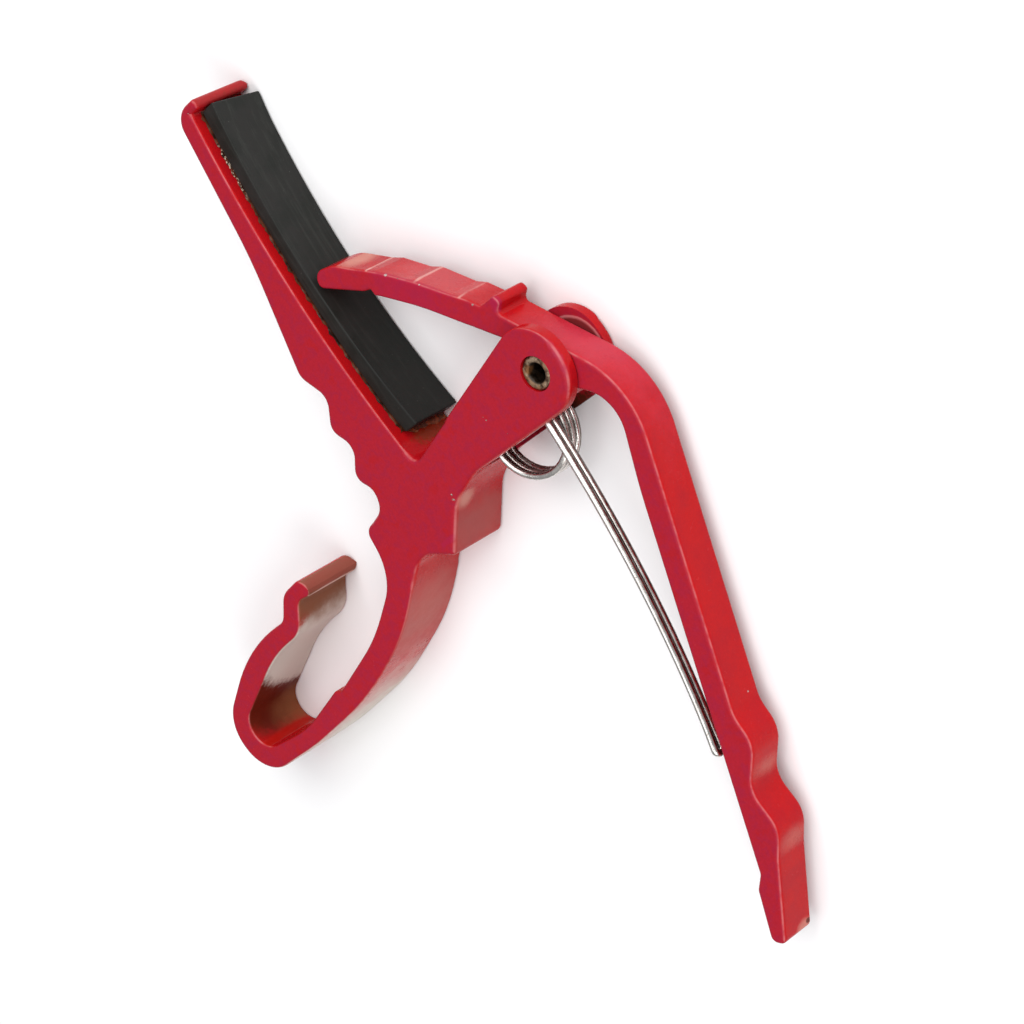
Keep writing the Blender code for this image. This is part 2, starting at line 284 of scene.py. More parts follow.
def inward(points):
    """The unit normal into the outline at each point, and how square it is to the sides."""
    def unit(v):
        return v / np.linalg.norm(v, axis=1, keepdims=True)
    before = unit(points - np.roll(points, 1, 0))
    after = unit(np.roll(points, -1, 0) - points)
    along = unit(before + after)
    normal = np.stack([-along[:, 1], along[:, 0]], 1)
    return normal, np.clip((before * along).sum(1), 0.75, 1)


def fillet_radii(points, normal, radius):
    """The edge radius at each point, smaller where the outline turns tightly or is thin."""
    apart = points[None] - points[:, None]
    across = (apart * normal[:, None]).sum(2)
    square = (apart ** 2).sum(2)
    room = np.where(across > 1e-6, square / (2 * np.maximum(across, 1e-6)), 1e3).min(1)
    steps = np.linalg.norm(np.roll(points, -1, 0) - points, axis=1)
    reach = 0.95 * room
    for _ in range(2):
        for i in range(len(points)):
            reach[i] = min(reach[i], reach[i - 1] + 0.6 * steps[i - 1])
        for i in reversed(range(len(points))):
            reach[i - 1] = min(reach[i - 1], reach[i] + 0.6 * steps[i - 1])
    return np.minimum(radius, reach)


def filleted(name, outline, low, high, radius, moved=None):
    """An outline extruded between two heights, with both rims rounded.

    radius is a number, or a function that gives one for each point of the divided outline.
    moved gives the outline at a depth below the upper side, if it isn't the same all the way.
    """
    points = divided(outline, OUTLINE_STEP)
    normal, lean = inward(points)
    radii = fillet_radii(points, normal, radius(points) if callable(radius) else radius)
    rises = [math.radians(90 * k / FILLET_RINGS) for k in range(FILLET_RINGS + 1)]
    levels = [(low + radii * (1 - math.sin(rise)), rise) for rise in reversed(rises)]
    levels += [(np.full(len(points), high - depth), 0) for depth in FADE_DEPTHS if moved]
    levels += [(high - radii * (1 - math.sin(rise)), rise) for rise in rises]
    shape = bmesh.new()
    rings = []
    for height, rise in levels:
        here = moved(points, high - height) if moved else points
        here = here + normal * (radii * (1 - math.cos(rise)) / lean)[:, None]
        rings.append([shape.verts.new(place(x, y, z)) for (x, y), z in zip(here, height)])
    for lower, upper in zip(rings, rings[1:]):
        for i in range(len(points)):
            shape.faces.new((lower[i - 1], lower[i], upper[i], upper[i - 1]))
    shape.faces.new(list(reversed(rings[0])))
    shape.faces.new(rings[-1])
    return show_closed(name, shape)


def carve(piece, *cutters):
    """Takes cutters out of a piece for good, and removes them."""
    for cutter in cutters:
        modifier = piece.modifiers.new("cut", "BOOLEAN")
        modifier.object = cutter
        modifier.operation = "DIFFERENCE"
        bpy.context.view_layer.update()
        evaluated = piece.evaluated_get(bpy.context.evaluated_depsgraph_get())
        mesh = bpy.data.meshes.new_from_object(evaluated)
        piece.modifiers.clear()
        piece.data = mesh
        bpy.data.objects.remove(cutter)


def round_sharp_edges(piece):
    """Rounds the edges left by the cutters."""
    shape = bmesh.new()
    shape.from_mesh(piece.data)
    limit = math.radians(SLOT_EDGE_DEGREES)
    sharp = [e for e in shape.edges if e.is_manifold and e.calc_face_angle() > limit]
    bmesh.ops.bevel(
        shape, geom=sharp, offset=SLOT_EDGE * MM, segments=SLOT_EDGE_STEPS, profile=0.5,
        affect="EDGES", clamp_overlap=True,
    )
    bmesh.ops.remove_doubles(shape, verts=shape.verts, dist=1e-6)
    shape.to_mesh(piece.data)
    shape.free()


def smooth(piece, degrees=40):
    piece.data.shade_smooth()
    piece.data.set_sharp_from_angle(angle=math.radians(degrees))
    weighted = piece.modifiers.new("even shading", "WEIGHTED_NORMAL")
    weighted.keep_sharp = True
    weighted.weight = 100


def rod(radius, length, middle, along, sides=48):
    """A round cutter."""
    shape = bmesh.new()
    turn = Vector(along).to_track_quat("Z", "Y").to_matrix().to_4x4()
    bmesh.ops.create_cone(
        shape, cap_ends=True, segments=sides, radius1=radius * MM, radius2=radius * MM,
        depth=length * MM, matrix=Matrix.Translation(middle) @ turn,
    )
    return show("cutter", shape)


def brick(low, high):
    """A square cutter between two corners."""
    shape = bmesh.new()
    size = Matrix.Diagonal((*(high - low), 1))
    bmesh.ops.create_cube(shape, size=1, matrix=Matrix.Translation((low + high) / 2) @ size)
    return show("cutter", shape)


# ---------------------------------------------------------------- materials


class Look:
    """A material's node tree, with short calls for the nodes used here."""

    def __init__(self, name):
        self.material = bpy.data.materials.new(name)
        self.material.use_nodes = True
        self.tree = self.material.node_tree
        self.shader = self.tree.nodes["Principled BSDF"]
        coordinates = self.add("ShaderNodeTexCoord")
        self.at = coordinates.outputs["Object"]
        self.facing = coordinates.outputs["Normal"]

    def add(self, kind, **values):
        made = self.tree.nodes.new(kind)
        for key, value in values.items():
            setattr(made, key, value)
        return made

    def feed(self, socket, value):
        if isinstance(value, bpy.types.NodeSocket):
            self.tree.links.new(value, socket)
        elif isinstance(value, (tuple, list)) and socket.type == "RGBA" and len(value) == 3:
            socket.default_value = (*value, 1)
        else:
            socket.default_value = value

    def shade(self, **values):
        for key, value in values.items():
            self.feed(self.shader.inputs[key.replace("_", " ")], value)

    def noise(self, size, detail=3.0, rough=0.55, at=None, warp=0.0):
        """Cloudy noise whose features are about so many millimetres wide."""
        made = self.add("ShaderNodeTexNoise")
        self.feed(made.inputs["Vector"], at or self.at)
        made.inputs["Scale"].default_value = 1 / (size * MM)
        made.inputs["Detail"].default_value = detail
        made.inputs["Roughness"].default_value = rough
        made.inputs["Distortion"].default_value = warp
        return made.outputs["Fac"]

    def stretch(self, x, y, z):
        made = self.add("ShaderNodeMapping")
        self.feed(made.inputs["Vector"], self.at)
        made.inputs["Scale"].default_value = (x, y, z)
        return made.outputs["Vector"]

    def maths(self, operation, *values):
        made = self.add("ShaderNodeMath", operation=operation)
        for socket, value in zip(made.inputs, values):
            self.feed(socket, value)
        return made.outputs[0]

    def vectors(self, operation, vector, other=None):
        made = self.add("ShaderNodeVectorMath", operation=operation)
        self.feed(made.inputs[0], vector)
        if other is not None:
            made.inputs[1].default_value = other
        return made.outputs[1 if operation in ("DOT_PRODUCT", "DISTANCE", "LENGTH") else 0]

    def product(self, first, *others):
        """Several masks, or masks and numbers, multiplied."""
        for other in others:
            first = self.maths("MULTIPLY", first, other)
        return first

    def band(self, value, low, high, out_low=0.0, out_high=1.0):
        """A smooth step of a value from low to high."""
        made = self.add("ShaderNodeMapRange", interpolation_type="SMOOTHSTEP")
        for key, number in zip(("Value", "From Min", "From Max", "To Min", "To Max"),
                               (value, low, high, out_low, out_high)):
            self.feed(made.inputs[key], number)
        return made.outputs["Result"]

    def mix(self, amount, first, second):
        made = self.add("ShaderNodeMix", data_type="RGBA")
        self.feed(made.inputs[0], amount)
        self.feed(made.inputs[6], first)
        self.feed(made.inputs[7], second)
        return made.outputs[2]

    def axis(self, vector, name):
        made = self.add("ShaderNodeSeparateXYZ")
        self.feed(made.inputs[0], vector)
        return made.outputs[name]

    def patch(self, centre, radii, ragged=None, soft=0.5, swing=1.6):
        """1 inside an ellipsoid of the profile, falling to 0 at its edge over a share of it."""
        away = self.vectors("SUBTRACT", self.at, place(*centre))
        shares = self.vectors("DIVIDE", away, [radius * MM for radius in radii])
        reach = self.vectors("LENGTH", shares)
        if ragged:
            shift = self.maths("MULTIPLY_ADD", ragged, swing, -swing / 2)
            reach = self.maths("ADD", reach, shift)
        return self.band(reach, 1 - soft, 1, 1, 0)

    def either(self, masks):
        """The strongest of several masks."""
        strongest = masks[0]
        for mask in masks[1:]:
            strongest = self.maths("MAXIMUM", strongest, mask)
        return strongest

    def bump(self, height, depth, after=None):
        made = self.add("ShaderNodeBump")
        made.inputs["Strength"].default_value = 1.0
        made.inputs["Distance"].default_value = depth * MM
        self.feed(made.inputs["Height"], height)
        if after:
            self.feed(made.inputs["Normal"], after)
        return made.outputs["Normal"]


def coating_reds(look, wall):
    """The reds of the walls and the flat sides, with a fine dark grain."""
    # Painted light: the walls take the brighter reds, the flat sides the crimson ones
    side = look.mix(look.band(look.noise(5.0, 4, 0.6), 0.38, 0.64), *WALL_REDS)
    mottle = look.band(look.noise(1.6, 3, 0.6, warp=0.5), 0.42, 0.66)
    blotch = look.band(look.noise(3.1, 3, 0.6), 0.55, 0.7, 0, 0.8)
    flat = look.mix(blotch, look.mix(mottle, *FLAT_REDS[:2]), FLAT_REDS[2])
    grain = look.band(look.noise(0.35, 2), 0.25, 0.75, 0, 0.2)
    return look.mix(grain, look.mix(wall, flat, side), GRAIN_RED)


def with_veils(look, colour, wall, ragged, veils):
    """The colour with the veils over its walls that face one side, and the veils' masks: wear with
    painted reflection and painted shade.
    """
    cloudy = look.noise(3.0, 4, 0.6)
    # The veils lie only on walls that face VEILED_SIDE, the side that takes the painted reflection
    # of the floor
    toward = look.vectors("DOT_PRODUCT", look.facing, VEILED_SIDE)
    veiled_wall = look.product(wall, look.band(toward, 0.0, 0.15))
    masks = []
    for centre, radii, strength, tint, soft in veils:
        edge, swing = (cloudy, 0.5) if soft > 0.3 else (ragged, 0.22)
        mask = look.product(look.patch(centre, radii, edge, soft, swing), veiled_wall, strength)
        colour = look.mix(mask, colour, tint)
        masks.append(mask)
    return colour, masks


def with_grime_and_shade(look, colour, ragged, grime_and_shade):
    """The colour with dirt and painted shade over the walls and the flat sides."""
    for centre, radii, strength, tint, soft in grime_and_shade:
        mask = look.patch(centre, radii, ragged, soft, 1.2 if soft > 0.15 else 0.05)
        colour = look.mix(look.product(mask, strength), colour, tint)
    return colour


def with_worn_and_highlit_rims(look, colour, upright):
    """Pale lines along the front edges that face the lever's side, where the key lamp is: painted
    highlight over some wear.
    """
    rim = look.product(look.band(upright, 0.4, 0.62), look.band(upright, 0.74, 0.92, 1, 0))
    lit = look.band(look.axis(look.facing, "Y"), 0.2, 0.5)
    front = look.band(look.axis(look.at, "Z"), 7 * MM, 8 * MM)
    pale_rim = look.product(look.band(look.noise(2.5, 3), 0.35, 0.6, 0.08, 0.26), rim)
    # Painted highlight: the pale tint lies only on front rims that face +Y
    return look.mix(look.product(lit, front, pale_rim), colour, ROSE)


def enamel(name, chips, veils, grime_and_shade):
    """Satin red coating over an alloy casting.

    chips are centres and radii of bare spots. veils are centres, radii, strengths, colours and
    softness of places on the walls that face VEILED_SIDE, where the coating has gone chalky and
    dirty in places and where painted reflection of the floor and painted shade lie, and
    grime_and_shade is the same for every side, dirt with painted shade among it.
    """
    look = Look(name)
    upright = look.maths("ABSOLUTE", look.axis(look.facing, "Z"))
    wall = look.band(upright, 0.45, 0.85, 1, 0)
    ragged = look.noise(1.1, 4, 0.7)
    colour = coating_reds(look, wall)
    colour, dull = with_veils(look, colour, wall, ragged, veils)
    colour = with_grime_and_shade(look, colour, ragged, grime_and_shade)
    colour = with_worn_and_highlit_rims(look, colour, upright)
    gone = look.either([look.patch(c[:3], (c[3],) * 3, ragged, 0.25) for c in chips])
    bare = look.mix(look.band(look.noise(0.3), 0.4, 0.6), *ALLOYS)
    look.shade(Base_Color=look.mix(gone, colour, bare), Specular_IOR_Level=0.1)
    rough = look.band(look.noise(1.4, 4, 0.6), 0.3, 0.7, 0.16, 0.28)
    rough = look.maths("MULTIPLY_ADD", look.either(dull), 0.35, rough)
    look.shade(Roughness=look.maths("MULTIPLY_ADD", gone, 0.25, rough))
    peel = look.bump(look.noise(0.9, 2, 0.5), 0.01)
    look.shade(Normal=look.bump(look.product(gone, -1), 0.05, after=peel))
    return look.material


def rubber():
    """Cut black sheet rubber with a drawn grain along the pad and dust, tan at its far end."""
    look = Look("black_rubber")
    drawn = look.noise(1.0, 4, 0.65, at=look.stretch(0.05, 1, 1))
    cloud = look.noise(5.0, 4, 0.6)
    colour = look.mix(look.band(cloud, 0.35, 0.65), *RUBBERS)
    colour = look.mix(look.band(drawn, 0.48, 0.72, 0, 0.6), colour, DRAWN_GREY)
    # Painted shade: the pad darkens towards its near end
    near = look.band(look.axis(look.at, "X"), place(-45, 0).x, place(-10, 0).x, 0, 0.45)
    colour = look.mix(near, colour, NEAR_END_SHADE)
    fringe = look.patch((-66.2, -33.2, 6.0), (0.6, 1.4, 9.0), cloud, 0.5, 0.8)
    colour = look.mix(look.product(fringe, 0.7), colour, FRINGE_TAN)
    dust = look.band(look.noise(0.4, 2), 0.68, 0.78)
    patch = look.band(look.noise(3.5, 2), 0.52, 0.64)
    dusty = look.product(dust, look.maths("MULTIPLY_ADD", patch, 0.45, 0.05))
    look.shade(Base_Color=look.mix(dusty, colour, DUST), Specular_IOR_Level=0.16)
    look.shade(Roughness=look.band(cloud, 0.3, 0.7, 0.42, 0.6))
    fine = look.bump(look.noise(0.25, 3), 0.012)
    look.shade(Normal=look.bump(drawn, 0.03, after=fine))
    return look.material


def glue():
    """Dried amber adhesive, dark with dirt, with pale crumbs towards the pad's far end."""
    look = Look("amber_glue")
    cloud = look.noise(1.6, 4, 0.6)
    colour = look.mix(look.band(cloud, 0.35, 0.62), *GLUES)
    smear = look.patch((-3.6, -34.6, 6.0), (2.2, 3, 9), cloud, 0.6)
    amber = look.mix(look.band(look.noise(0.8, 3), 0.4, 0.6), *AMBERS)
    colour = look.mix(smear, colour, amber)
    crumbs = look.band(look.noise(0.45, 2), 0.5, 0.6)
    far = look.patch((-55.5, -35, 11.0), (6.0, 3, 1.8), None, 0.4)
    colour = look.mix(look.product(crumbs, far), colour, CRUMBS)
    look.shade(Base_Color=colour, Specular_IOR_Level=0.4)
    look.shade(Roughness=look.band(cloud, 0.3, 0.7, 0.35, 0.6))
    look.shade(Normal=look.bump(look.noise(0.5, 3), 0.08))
    return look.material


def pin_steel():
    """Turned steel, tarnished brown, with rust in the bore."""
    look = Look("bare_steel")
    distance = look.vectors("DISTANCE", look.vectors("MULTIPLY", look.at, (1, 1, 0)), PIVOT)
    cloud = look.noise(0.9, 4, 0.6)
    colour = look.mix(look.band(cloud, 0.38, 0.62), *STEELS)
    rust = look.band(look.noise(1.3, 3, 0.6), 0.46, 0.6)
    colour = look.mix(look.product(rust, 0.7), colour, RUST)
    # Painted shade: the bore and the inner rim are nearly black
    bore = look.band(distance, 1.65 * MM, 1.95 * MM, 1, 0)
    colour = look.mix(look.product(bore, 0.95), colour, BORE_SHADE)
    residue = look.patch((-1.1, -1.1, 12.2), (1.0, 1.0, 1.6), cloud, 0.5, 0.6)
    colour = look.mix(look.product(residue, 0.8), colour, RESIDUE)
    look.shade(Base_Color=colour, Metallic=look.band(rust, 0, 1, 0.75, 0.3))
    look.shade(Roughness=look.band(cloud, 0.3, 0.7, 0.3, 0.6))
    look.shade(Normal=look.bump(look.noise(0.4, 3), 0.1))
    return look.material


def nickel():
    """Bright plated spring wire, painted dark brown underneath and on the leg's rear strand as
    shade, with brown spots.
    """
    look = Look("bright_nickel")
    film = look.band(look.noise(4.0, 3), 0.42, 0.68, 0, 0.5)
    colour = look.mix(film, *NICKELS)
    # Painted shade: the wire's underside is darkened brown
    under = look.band(look.axis(look.facing, "Z"), 0.05, 0.35, 1, 0)
    streaks = look.band(look.noise(1.5, 3, 0.6), 0.2, 0.75, 1, 0.7)
    colour = look.mix(look.product(under, streaks), colour, UNDERSIDE_SHADE_BROWN)
    # Painted shade: the leg's rear strand is darkened on its sides that face away from +Y
    strand = REAR_STRAND * MM
    rear = look.band(look.axis(look.at, "Z"), strand, strand + REAR_STRAND_FADE * MM, 0.85, 0)
    start, end = (place(x, 0).x for x in (LEG_SHADE_FROM, LEG_SHADE_TO))
    leg = look.band(look.axis(look.at, "X"), start, end)
    shaded = look.band(look.axis(look.facing, "Y"), 0.35, 0.75, 1, 0)
    colour = look.mix(look.product(rear, leg, shaded), colour, LEG_SHADE_BROWN)
    spots = look.band(look.noise(0.5, 2), 0.68, 0.76, 0, 0.6)
    look.shade(Base_Color=look.mix(spots, colour, SPOT_BROWN), Metallic=1.0)
    look.shade(Roughness=look.band(look.noise(1.2, 3), 0.3, 0.7, 0.18, 0.32))
    look.shade(Normal=look.bump(look.noise(0.6, 3), 0.006))
    return look.material


def paper():
    """The pale floor."""
    look = Look("pale_floor")
    look.shade(Base_Color=look.mix(look.noise(60.0, 2), *FLOOR_GREYS), Roughness=0.8)
    return look.material


# ---------------------------------------------------------------- pieces


def finish(piece, material, nodes, body=None):
    """Says what a piece is made of, hides the CAD parts it stands in for and, if given a body, what
    it rides.
    """
    piece.data.materials.clear()
    piece.data.materials.append(material)
    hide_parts(*nodes)
    if body:
        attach(piece, body)


# Chips are centres and radii. Veils and the dirt-and-shade lists are centres, radii, strengths,
# colours, softness
BODY_CHIPS = [
    (8.3, -30.4, 12.1, 0.45), (7.6, -30.1, 12.4, 0.22), (-66.9, -34.4, 12.3, 0.2),
    (1.3, -14.4, 12.5, 0.12), (0.6, -14.6, 12.5, 0.1), (4.9, -12.0, 12.5, 0.08),
    (-30.5, -36.6, 12.1, 0.14), (-16.0, -36.0, 12.3, 0.12), (18.6, -87.0, 12.4, 0.08),
]
# Pale veils on the spine, hook and lip walls are chalky wear with painted reflection of the floor;
# the dark browns in the hook are dirt with painted shade
BODY_VEILS = [
    ((20.0, -57.0, 6.0), (8, 22, 16), 0.7, PINK_CHALK_AND_SHEEN, 0.9),
    ((31.0, -88.0, 0.0), (9.5, 44, 28), 0.95, CHALK_AND_SHEEN, 0.85),
    ((12.6, -36.0, 6.5), (6, 10, 14), 0.6, DUSTY_RED, 0.7),
    ((8.8, -30.2, 10.5), (2.2, 3, 3), 0.6, TAN, 0.8),
    ((17.5, -98.0, 7.0), (9, 12, 12), 0.95, RED_BROWN, 0.3),
    ((20.5, -104.0, 1.0), (6.5, 5, 8), 0.85, ORANGE_BROWN, 0.8),
    ((25.8, -103.5, 6.0), (3.2, 5, 14), 0.9, DEEP_RED, 0.3),
    ((14.5, -84.0, -2.0), (7.5, 19.2, 19.5), 0.96, CHALK_AND_SHEEN, 0.16),
    ((8.5, -74.5, 6.0), (9, 7.6, 18), 0.95, HOOK_BROWN, 0.6),
    ((5.6, -72.0, 6.0), (3.4, 1.4, 12), 0.6, LIP_RED, 0.4),
    ((7.5, -73.2, 6.0), (0.7, 0.5, 9), 0.7, PALE, 0.5),
    ((7.5, -2.0, 11.8), (3, 9, 1.0), 0.4, PINK_CHALK_AND_SHEEN, 0.6),
    ((-67.3, -31.7, 6.0), (1.6, 0.9, 12), 0.45, DULL_RED, 0.5),
]
# Painted shade: the two shade-red spots darken the rear ear's inner face round the pin and under
# the lever, with a thin rose ring at the first one's edge; the dark brown spot is painted shadow on
# the rear ear's outer wall; the lilac and plum tints are painted shade on rounded front rims
BODY_GRIME_AND_SHADE = [
    ((0.0, 0.0, 2.2), (6.05, 6.05, 0.4), 0.5, ROSE, 0.04),
    ((0.0, 0.0, 2.2), (5.85, 5.85, 0.4), 0.9, SHADE_RED, 0.1),
    ((4.0, -11.0, 2.2), (6.5, 8, 0.4), 0.8, SHADE_RED, 0.3),
    ((6.9, -6.0, 1.0), (2.6, 5.5, 2.4), 0.9, SHADOW_BROWN, 0.35),
    ((-3.4, -34.9, 4.6), (2.5, 2.2, 6.2), 0.8, AMBER_BROWN, 0.5),
    ((-67.0, -33.0, 5.0), (0.8, 1.6, 6.0), 0.5, BROWN, 0.5),
    ((13.3, -36.0, 12.5), (0.7, 3.2, 0.6), 0.6, RIM_SHADE_LILAC, 0.5),
    ((0.0, 7.0, 12.4), (8, 2.6, 0.8), 0.5, RIM_SHADE_PLUM, 0.6),
]
LEVER_CHIPS = [
    (-26.8, -18.7, 9.8, 0.26), (-25.2, -16.8, 9.9, 0.2), (-22.3, -13.4, 9.9, 0.28),
    (-20.0, -10.8, 9.9, 0.18), (-14.6, -5.9, 9.9, 0.24), (58.4, -5.3, 5.0, 0.22),
]
# Pale and pink veils on the lever's walls are wear with painted reflection of the floor
LEVER_VEILS = [
    ((-32.8, -26.0, 5.5), (3.4, 4.4, 6.5), 0.6, TAN, 0.7),
    ((-22.0, -13.0, 5.5), (14.0, 14.0, 9.0), 0.22, DUSTY_PINK_AND_SHEEN, 0.8),
    ((-16.7, -7.8, 4.5), (0.5, 0.5, 9), 0.45, PALE, 0.5),
    ((-23.2, -14.1, 4.5), (0.5, 0.5, 9), 0.4, PALE, 0.5),
    ((-29.2, -22.1, 4.5), (0.5, 0.5, 9), 0.7, PALE, 0.5),
    ((3.0, 6.0, 5.0), (24, 11, 10), 0.3, PINK, 0.9),
    ((68.6, -10.4, 5.5), (3.0, 2.4, 6.0), 0.3, TAN, 0.9),
    ((81.2, -13.6, 5.5), (3.0, 2.4, 6.0), 0.2, TAN, 0.9),
    ((94.8, -23.6, 4.5), (2.0, 2.0, 2.8), 0.5, TAN, 0.7),
]
# Painted shade: the lilac tints darken the rounded front rims of the fin and the jaw
LEVER_GRIME_AND_SHADE = [
    ((-12.6, -1.6, 9.7), (1.7, 1.6, 1.0), 0.7, RIM_SHADE_LILAC, 0.5),
    ((-24.0, -14.5, 9.7), (11, 11, 0.55), 0.45, RIM_SHADE_LILAC, 0.4),
    ((94.4, -23.0, 3.4), (0.55, 0.55, 0.7), 0.9, RED_BROWN, 0.3),
]


def body_radius(points):
    """The edge radius along the body: small at the tray and the hook."""
    x, y = points.T
    first, last = TRAY_SPAN
    tray = (x > first) & (x < last) & (y > TRAY_ABOVE)
    return np.where(tray, TRAY_RADIUS, np.where(y < HOOK_BELOW, HOOK_RADIUS, CAST_RADIUS))


def lever_radius(points):
    """The edge radius along the lever: smaller at the jaw."""
    return np.where(points[:, 0] < JAW_BEFORE, JAW_RADIUS, HANDLE_RADIUS)


def ridges_faded(points, depth):
    """The lever's outline at a depth below its front: the jaw's ridges end short of the edge."""
    x, y = points.T
    first, last = RIDGES
    back = (x > first) & (x < last) & (y > JAW_BACK_SLOPE * x + JAW_BACK_RISE)
    even = np.polyval(np.polyfit(x[back], y[back], 3), x)
    ends = np.clip(np.minimum(x - first, last - x) / RIDGE_EASE, 0, 1)
    part = np.clip(depth / FADE_DEPTHS[0], 0, 1)
    near = 1 - part * part * (3 - 2 * part)
    moved = points.copy()
    moved[:, 1] += np.where(back, (even - y) * near * ends, 0)
    return moved


def pin_hole():
    """The cutter of the hole for the pivot pin."""
    return rod(HOLE_RADIUS, 2 * THICKNESS, place(0, 0, THICKNESS / 2), (0, 0, 1))


def make_body():
    body = filleted("body_casting", border("capo_body"), 0, THICKNESS, body_radius)
    slot_low = place(-SLOT_REACH, SLOT_FLOOR, EAR_THICKNESS)
    slot_high = place(SLOT_REACH, SLOT_REACH, THICKNESS - EAR_THICKNESS)
    tails = [wire_route(strand)[-1] for strand in (0, 1)]
    along = tail_direction()
    drill = place(*((tails[0] + tails[1]) / 2 - along * TAIL_HOLE_BACK))
    carve(
        body, brick(slot_low, slot_high), pin_hole(),
        rod(TAIL_HOLE_RADIUS, TAIL_HOLE_DEPTH, drill, along, 24),
    )
    round_sharp_edges(body)
    smooth(body)
    coating = enamel("body_enamel", BODY_CHIPS, BODY_VEILS, BODY_GRIME_AND_SHADE)
    finish(body, coating, ["capo_body"], "body")


def make_lever():
    low, high = (corner.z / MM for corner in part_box("lever"))
    lever = filleted("lever_casting", border("lever"), low, high, lever_radius, ridges_faded)
    carve(lever, pin_hole())
    round_sharp_edges(lever)
    smooth(lever)
    coating = enamel("lever_enamel", LEVER_CHIPS, LEVER_VEILS, LEVER_GRIME_AND_SHADE)
    finish(lever, coating, ["lever"], "lever")


# Spring: one wire, from the first tail through the turns and the hairpin to the second tail


def strand_height(turned, strand):
    """A strand's height after so many degrees. Its first turn is steeper, to clear the leg."""
    lead = 2 * STRAND_PITCH
    if turned < CROSSING_TURN:
        drop = lead * turned / CROSSING_TURN
    else:
        drop = lead + lead * (turned - CROSSING_TURN) / 360
    return FRONT_STRAND - strand * STRAND_PITCH - drop


def tail_direction():
    """The way that both strands run on into the slot's floor."""
    angle = math.radians(90 + STRAND_TURNS[0])
    return Vector((-math.sin(angle), math.cos(angle), 0))


def leg_y(x):
    """Y of the bowed leg along its length."""
    part = (x - COIL_CENTRE.x) / LEG_LENGTH
    return COIL_CENTRE.y + COIL_RADIUS - LEG_SAG * part ** LEG_SAG_POWER


def wire_route(strand):
    """One strand from its leg to its tail's end, without the leg itself."""
    degrees = STRAND_TURNS[strand]
    count = round(degrees / TURN_STEP)
    points = []
    for i in range(count + 1):
        turned = degrees * i / count
        angle = math.radians(90 + turned)
        out = Vector((math.cos(angle), math.sin(angle), 0)) * COIL_RADIUS
        points.append(COIL_CENTRE + out + Vector((0, 0, strand_height(turned, strand))))
    tail = tail_direction() * TAIL_LENGTH
    return points + [points[-1] + tail * part for part in TAIL_SHARES]


def leg_route():
    """Out along the front strand, round the eye and back along the rear strand."""
    middle = FRONT_STRAND - STRAND_PITCH / 2
    front = []
    for i in range(1, LEG_STEPS + 1):
        run = LEG_LENGTH * i / LEG_STEPS
        x = COIL_CENTRE.x + run
        spread = max(0.0, 1 - (LEG_LENGTH - run) / EYE_TAPER)
        half = STRAND_PITCH / 2 + (EYE_RADIUS - STRAND_PITCH / 2) * spread * spread
        front.append(Vector((x, leg_y(x), middle + half)))
    end = front[-1]
    along = (front[-1] - front[-2]).normalized()
    along.z = 0
    eye = []
    for step in range(1, EYE_STEPS):
        angle = math.radians(90 - 180 * step / EYE_STEPS)
        out = along * math.cos(angle) + Vector((0, 0, math.sin(angle)))
        eye.append(Vector((end.x, end.y, middle)) + out * EYE_RADIUS)
    back = [Vector((p.x, p.y, 2 * middle - p.z)) for p in reversed(front)]
    return front + eye + back


def swept(name, points, radius, sides):
    """A round wire along points, closed at both ends."""
    shape = bmesh.new()
    side = Vector((0, 0, 1))
    rings = []
    for i, point in enumerate(points):
        ahead = (points[min(i + 1, len(points) - 1)] - points[max(i - 1, 0)]).normalized()
        side = (side - ahead * side.dot(ahead)).normalized()
        other = ahead.cross(side)
        ring = []
        for k in range(sides):
            angle = 2 * math.pi * k / sides
            out = side * math.cos(angle) + other * math.sin(angle)
            ring.append(shape.verts.new(place(*(point + out * radius))))
        rings.append(ring)
    for first, second in zip(rings, rings[1:]):
        for k in range(sides):
            shape.faces.new((first[k - 1], first[k], second[k], second[k - 1]))
    shape.faces.new(rings[0])
    shape.faces.new(list(reversed(rings[-1])))
    wire = show_closed(name, shape)
    wire.data.shade_smooth()
    return wire


def make_spring():
    route = list(reversed(wire_route(0))) + leg_route() + wire_route(1)
    spring = swept("torsion_spring", route, WIRE_RADIUS, WIRE_SIDES)
    nodes = ["spring_coil_front", "spring_coil_rear", "spring_leg"]
    finish(spring, nickel(), nodes)
    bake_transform(spring)


def eased(points, radius):
    """An outline with its sharp corners replaced by arcs."""
    out = []
    for i, here in enumerate(points):
        before, after = points[i - 1] - here, points[(i + 1) % len(points)] - here
        before, after = before / np.linalg.norm(before), after / np.linalg.norm(after)
        half = math.acos(np.clip(before @ after, -1, 1)) / 2
        if half > math.radians(CORNER_HALF_DEGREES):
            out.append(here)
            continue
        centre = here + (before + after) / np.linalg.norm(before + after) * radius / math.sin(half)
        first = Vector(here + before * radius / math.tan(half) - centre)
        turn = math.pi - 2 * half
        for k in range(CORNER_STEPS + 1):
            out.append(centre + np.array(Matrix.Rotation(turn * k / CORNER_STEPS, 2) @ first))
    return np.array(out)


